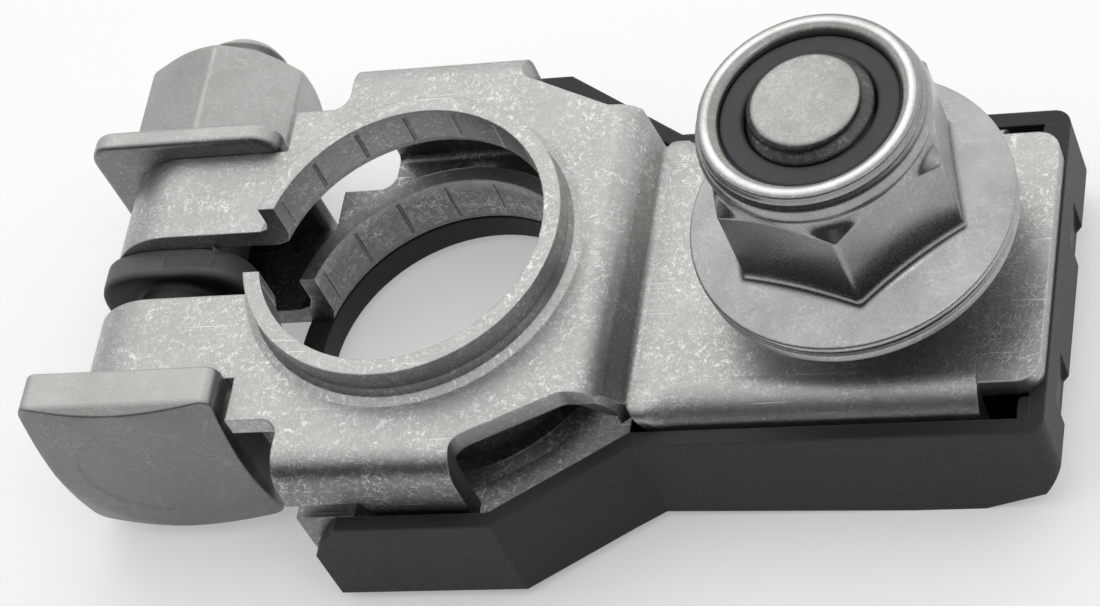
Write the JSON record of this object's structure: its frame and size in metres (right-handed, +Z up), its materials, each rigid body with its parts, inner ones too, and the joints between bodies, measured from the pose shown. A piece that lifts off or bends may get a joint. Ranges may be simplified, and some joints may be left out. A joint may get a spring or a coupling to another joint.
{
  "type": "battery terminal clamp",
  "caption": "Folded sheet-metal battery post clamp with a side clamp bolt and a threaded cable stud, seated in a plastic carrier tray.",
  "frame": {"origin": "on the axis of the battery post bore, at the upper face of the upper plate", "axes": "+X from the post bore to the cable stud, +Y towards the clamp nut, +Z up along the post, out of the cable stud's free end"},
  "size_m": [0.0658, 0.0388, 0.027],
  "materials": {
    "plated_sheet": "satin",
    "plated_bolt": "satin",
    "plated_nut": "satin",
    "flange_nut": "satin",
    "insert_ring": "matt",
    "dark_plastic": "matt"
  },
  "bodies": {
    "clamp": {"clamp_body": "plated_sheet", "carrier_tray": "dark_plastic", "clamp_bolt": "plated_bolt", "ear_spacer": "dark_plastic", "cable_stud": "plated_bolt"},
    "stud_washer": {"contact_washer": "plated_sheet"},
    "stud_nut": {"stud_nut": "flange_nut", "nut_insert": "insert_ring"},
    "bolt_plate": {"square_washer": "plated_sheet"},
    "bolt_nut": {"clamp_nut": "plated_nut"}
  },
  "joints": [
    {"name": "stud_nut_travel", "type": "slide", "parent": "clamp", "child": "stud_washer", "axis": [0, 0, 1], "range_m": [-0.0041, 0.0092]},
    {"name": "stud_nut_turn", "type": "hinge", "parent": "stud_washer", "child": "stud_nut", "pos_m": [0.0295, 0, 0], "axis": [0, 0, 1], "range_deg": [-1095, 2520]},
    {"name": "bolt_nut_travel", "type": "slide", "parent": "clamp", "child": "bolt_plate", "axis": [0, 1, 0], "range_m": [0, 0.0092]},
    {"name": "bolt_nut_turn", "type": "hinge", "parent": "bolt_plate", "child": "bolt_nut", "pos_m": [-0.0181, 0.0145, -0.00535], "axis": [0, 1, 0], "range_deg": [0, 3150]}
  ],
  "couplings": [
    {"joint": "stud_nut_travel", "follows": "stud_nut_turn", "m_per_rad": 0.00019894},
    {"joint": "bolt_nut_travel", "follows": "bolt_nut_turn", "m_per_rad": 0.00015915}
  ]
}
